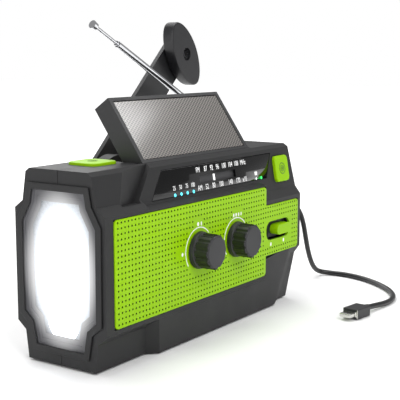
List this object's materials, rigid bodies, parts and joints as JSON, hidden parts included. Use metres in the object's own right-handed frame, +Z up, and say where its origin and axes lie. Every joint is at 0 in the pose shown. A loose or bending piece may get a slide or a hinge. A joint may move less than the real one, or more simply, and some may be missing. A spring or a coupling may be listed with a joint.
{
  "type": "emergency radio",
  "caption": "Portable hand-crank radio with torch end, raised solar panel, telescopic antenna, tuning dial, control knobs, band switch and a USB lead on the ground.",
  "frame": {"origin": "on the ground under the middle of the case, at the centre of the underside pad", "axes": "+X along the case from the torch end to the socket end, +Y from the front to the back, +Z up"},
  "size_m": [0.2808, 0.1449, 0.1881],
  "materials": {
    "alarm_button": "lime green satin",
    "alarm_switch": "black",
    "antenna_base": "bright chrome",
    "antenna_middle_tube": "bright chrome",
    "antenna_outer_tube": "bright chrome",
    "antenna_pin": "zinc plated",
    "antenna_tip_rod": "bright chrome",
    "band_slider": "lime green satin",
    "band_switch": "plated sheet",
    "base_pad": "soft black",
    "battery_cell_1": "blue sleeve",
    "battery_cell_2": "blue sleeve",
    "battery_door": "fine-grained dark grey",
    "case_screw_1": "zinc plated",
    "case_screw_2": "zinc plated",
    "case_screw_3": "zinc plated",
    "case_screw_4": "zinc plated",
    "crank_arm": "fine-grained dark grey",
    "crank_fold_pin": "zinc plated",
    "crank_hub": "fine-grained dark grey",
    "crank_knob": "charcoal",
    "crank_screw": "zinc plated",
    "dial_pointer": "printed white",
    "dial_scale": "printed white",
    "dial_window": "glossy smoked black",
    "drive_gear": "natural acetal",
    "ferrite_coil": "turned",
    "ferrite_rod": "black",
    "foot_left": "soft black",
    "foot_right": "soft black",
    "front_housing": "fine-grained dark grey",
    "generator": "plated sheet",
    "generator_pinion": "turned",
    "generator_shaft": "turned",
    "grille_panel": "lime green satin",
    "main_board": "green circuit board",
    "reading_lamp": "frosted diffuser",
    "rear_housing": "fine-grained dark grey",
    "reflector": "vacuum-metallised",
    "socket_block": "black",
    "socket_flap": "soft black",
    "solar_cell": "dark brown cell under glass",
    "solar_frame": "fine-grained dark grey",
    "solar_hinge_pin": "zinc plated",
    "speaker_cone": "coated paper",
    "speaker_frame": "plated sheet",
    "step_up_gear": "natural acetal",
    "torch_bezel": "fine-grained dark grey",
    "torch_button": "lime green satin",
    "torch_led_board": "green circuit board",
    "torch_lens": "clear moulding",
    "torch_switch": "black",
    "tuning_capacitor": "natural acetal",
    "tuning_drum": "natural acetal",
    "tuning_knob": "charcoal",
    "usb_cable": "soft black",
    "usb_connector": "soft black",
    "usb_plug": "soft black",
    "volume_knob": "charcoal",
    "volume_pot": "plated sheet"
  },
  "bodies": {
    "case": {"front_housing": "front_housing", "rear_housing": "rear_housing", "base_pad": "base_pad", "foot_left": "foot_left", "foot_right": "foot_right", "case_screw_1": "case_screw_1", "case_screw_2": "case_screw_2", "case_screw_3": "case_screw_3", "case_screw_4": "case_screw_4", "torch_bezel": "torch_bezel", "torch_lens": "torch_lens", "reflector": "reflector", "torch_led_board": "torch_led_board", "grille_panel": "grille_panel", "speaker_frame": "speaker_frame", "speaker_cone": "speaker_cone", "dial_window": "dial_window", "dial_scale": "dial_scale", "volume_pot": "volume_pot", "tuning_capacitor": "tuning_capacitor", "band_switch": "band_switch", "alarm_switch": "alarm_switch", "torch_switch": "torch_switch", "solar_hinge_pin": "solar_hinge_pin", "antenna_base": "antenna_base", "antenna_pin": "antenna_pin", "generator": "generator", "main_board": "main_board", "ferrite_rod": "ferrite_rod", "ferrite_coil": "ferrite_coil", "battery_cell_1": "battery_cell_1", "battery_cell_2": "battery_cell_2", "socket_block": "socket_block", "usb_plug": "usb_plug", "usb_cable": "usb_cable", "usb_connector": "usb_connector"},
    "volume_knob": {"volume_knob": "volume_knob"},
    "tuning_knob": {"tuning_knob": "tuning_knob", "tuning_drum": "tuning_drum"},
    "dial_pointer": {"dial_pointer": "dial_pointer"},
    "band_slider": {"band_slider": "band_slider"},
    "alarm_button": {"alarm_button": "alarm_button"},
    "torch_button": {"torch_button": "torch_button"},
    "solar_panel": {"solar_frame": "solar_frame", "solar_cell": "solar_cell", "reading_lamp": "reading_lamp"},
    "antenna": {"antenna_outer_tube": "antenna_outer_tube"},
    "antenna_middle": {"antenna_middle_tube": "antenna_middle_tube"},
    "antenna_tip": {"antenna_tip_rod": "antenna_tip_rod"},
    "crank_hub": {"crank_hub": "crank_hub", "crank_fold_pin": "crank_fold_pin", "drive_gear": "drive_gear"},
    "crank_arm": {"crank_arm": "crank_arm", "crank_screw": "crank_screw"},
    "crank_knob": {"crank_knob": "crank_knob"},
    "step_up_gear": {"step_up_gear": "step_up_gear"},
    "generator_rotor": {"generator_pinion": "generator_pinion", "generator_shaft": "generator_shaft"},
    "battery_door": {"battery_door": "battery_door"},
    "socket_flap": {"socket_flap": "socket_flap"}
  },
  "joints": [
    {"name": "volume_turn", "type": "hinge", "parent": "case", "child": "volume_knob", "pos_m": [-0.0197, -0.036, 0.0543], "axis": [0, 1, 0], "range_deg": [-90, 180]},
    {"name": "tuning_turn", "type": "hinge", "parent": "case", "child": "tuning_knob", "pos_m": [0.0203, -0.036, 0.0543], "axis": [0, 1, 0], "range_deg": [-120, 150]},
    {"name": "pointer_slide", "type": "slide", "parent": "case", "child": "dial_pointer", "axis": [1, 0, 0], "range_m": [-0.0163, 0.0203]},
    {"name": "band_slide", "type": "slide", "parent": "case", "child": "band_slider", "axis": [1, 0, 0], "range_m": [-0.0085, 0]},
    {"name": "alarm_press", "type": "slide", "parent": "case", "child": "alarm_button", "axis": [0, 0.9859, -0.1673], "range_m": [0, 0.0015], "stiffness_N_per_m": 600},
    {"name": "torch_press", "type": "slide", "parent": "case", "child": "torch_button", "axis": [0, 0, -1], "range_m": [0, 0.0015], "stiffness_N_per_m": 600},
    {"name": "solar_tilt", "type": "hinge", "parent": "case", "child": "solar_panel", "pos_m": [0, -0.0152, 0.1056], "axis": [1, 0, 0], "range_deg": [-55.2, 12]},
    {"name": "antenna_fold", "type": "hinge", "parent": "case", "child": "antenna", "pos_m": [0.095, 0.0315, 0.118], "axis": [0, 1, 0], "range_deg": [-26.7, 120]},
    {"name": "antenna_middle_slide", "type": "slide", "parent": "antenna", "child": "antenna_middle", "axis": [-0.8934, 0, 0.4493], "range_m": [0, 0.1]},
    {"name": "antenna_tip_slide", "type": "slide", "parent": "antenna_middle", "child": "antenna_tip", "axis": [-0.8934, 0, 0.4493], "range_m": [-0.02, 0.074]},
    {"name": "crank_spin", "type": "hinge", "parent": "case", "child": "crank_hub", "pos_m": [-0.0175, 0.036, 0.0865], "axis": [0, 1, 0], "continuous": true},
    {"name": "crank_fold", "type": "hinge", "parent": "crank_hub", "child": "crank_arm", "pos_m": [-0.0175, 0.048, 0.0865], "axis": [-0.6893, 0, 0.7245], "range_deg": [0, 180]},
    {"name": "crank_knob_spin", "type": "hinge", "parent": "crank_arm", "child": "crank_knob", "pos_m": [0.067, 0.042, 0.1669], "axis": [0, 1, 0], "continuous": true},
    {"name": "step_up_spin", "type": "hinge", "parent": "case", "child": "step_up_gear", "pos_m": [-0.0175, 0.028, 0.0655], "axis": [0, 1, 0], "continuous": true},
    {"name": "generator_spin", "type": "hinge", "parent": "case", "child": "generator_rotor", "pos_m": [-0.0015, 0.026, 0.0655], "axis": [0, 1, 0], "continuous": true},
    {"name": "battery_door_hinge", "type": "hinge", "parent": "case", "child": "battery_door", "pos_m": [0, 0.0322, 0.0245], "axis": [-1, 0, 0], "range_deg": [0, 100]},
    {"name": "socket_flap_hinge", "type": "hinge", "parent": "case", "child": "socket_flap", "pos_m": [0.1039, 0.0013, 0.051], "axis": [0, 0, 1], "range_deg": [-20, 70]}
  ],
  "couplings": [
    {"joint": "pointer_slide", "follows": "tuning_turn", "m_per_rad": 0.0076},
    {"joint": "step_up_spin", "follows": "crank_spin", "ratio": -3.2},
    {"joint": "generator_spin", "follows": "crank_spin", "ratio": 9.6}
  ]
}
